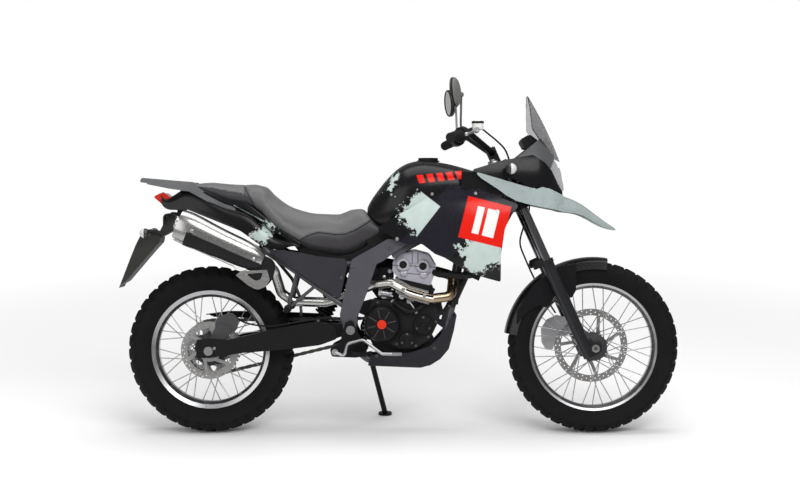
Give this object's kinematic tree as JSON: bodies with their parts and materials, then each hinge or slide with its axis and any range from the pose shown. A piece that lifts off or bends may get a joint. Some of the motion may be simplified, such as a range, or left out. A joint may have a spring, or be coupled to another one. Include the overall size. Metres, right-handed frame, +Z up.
{
  "type": "dual sport motorcycle",
  "caption": "Road and trail motorcycle with wire wheels, beak mudguard, high exhaust, luggage rack and side stand, leaning on its stand.",
  "frame": {"origin": "on the floor, under the middle of the motorcycle's bounding box", "axes": "+X towards the front wheel, +Y to the rider's left, +Z up; the machine leans 10 degrees to its left on its side stand"},
  "size_m": [2.1516, 0.8544, 1.3872],
  "materials": {
    "black_gloss": "gloss black paint",
    "black_metal": "black paint",
    "black_plastic": "textured black plastic",
    "frame_grey": "grey paint",
    "grey_plastic": "dark grey plastic",
    "lamp_lens": "clear",
    "light_alloy": "satin",
    "mint_plastic": "pale grey-green satin paint",
    "red_lens": "red lens",
    "seat_cover": "grained vinyl",
    "smoked_screen": "smoked",
    "steel": "polished",
    "tyre": "matt"
  },
  "bodies": {
    "chassis": {"chain": "black_metal", "front_sprocket": "light_alloy", "frame": "frame_grey", "subframe": "frame_grey", "swingarm": "black_metal", "swingarm_pivot": "steel", "shock": "black_metal", "rear_axle": "steel", "rear_brake": "black_metal", "chain_guard": "black_plastic", "crankcase": "black_metal", "cylinder_head": "light_alloy", "engine_covers": "black_metal", "exhaust_pipe": "steel", "heat_shield": "steel", "muffler": "steel", "muffler_case": "black_metal", "fuel_tank": "black_gloss", "filler_cap": "black_plastic", "shrouds": "black_gloss", "radiator": "black_metal", "intake": "black_plastic", "fairing": "black_gloss", "headlight": "lamp_lens", "beak": "mint_plastic", "windscreen": "smoked_screen", "cockpit_panels": "grey_plastic", "fairing_stay": "black_metal", "instruments": "black_plastic", "indicators": "lamp_lens", "seat": "seat_cover", "tail_cowl": "black_plastic", "side_covers": "grey_plastic", "luggage_rack": "grey_plastic", "tail_light": "red_lens", "rear_mudguard": "black_plastic", "belly_guard": "black_plastic", "foot_pegs": "black_metal", "foot_levers": "light_alloy"},
    "steering": {"fork_legs": "black_metal", "fork_tubes": "steel", "triple_clamps": "black_metal", "handlebar": "black_metal", "grips": "black_plastic", "hand_controls": "black_metal", "mirrors": "black_metal", "front_axle": "steel", "front_mudguard": "black_gloss", "front_brake": "black_metal"},
    "front_wheel": {"front_wheel": "light_alloy", "front_tyre": "tyre", "front_disc": "steel"},
    "rear_wheel": {"rear_wheel": "light_alloy", "rear_tyre": "tyre", "rear_disc": "steel", "rear_sprocket": "light_alloy"},
    "side_stand": {"side_stand": "black_metal"}
  },
  "joints": [
    {"name": "steering_turn", "type": "hinge", "parent": "chassis", "child": "steering", "pos_m": [0.4007, -0.04391, 0.92993], "axis": [-0.4099, 0.1584, 0.8983], "range_deg": [-38, 38]},
    {"name": "front_wheel_spin", "type": "hinge", "parent": "steering", "child": "front_wheel", "pos_m": [0.74684, -0.15055, 0.32519], "axis": [0, 0.9848, -0.1736], "continuous": true},
    {"name": "rear_wheel_spin", "type": "hinge", "parent": "chassis", "child": "rear_wheel", "pos_m": [-0.72815, -0.15211, 0.31633], "axis": [0, 0.9848, -0.1736], "continuous": true},
    {"name": "side_stand_fold", "type": "hinge", "parent": "chassis", "child": "side_stand", "pos_m": [-0.11615, -0.03856, 0.25772], "axis": [0.092, 0.9572, 0.2743], "range_deg": [0, 100]}
  ]
}
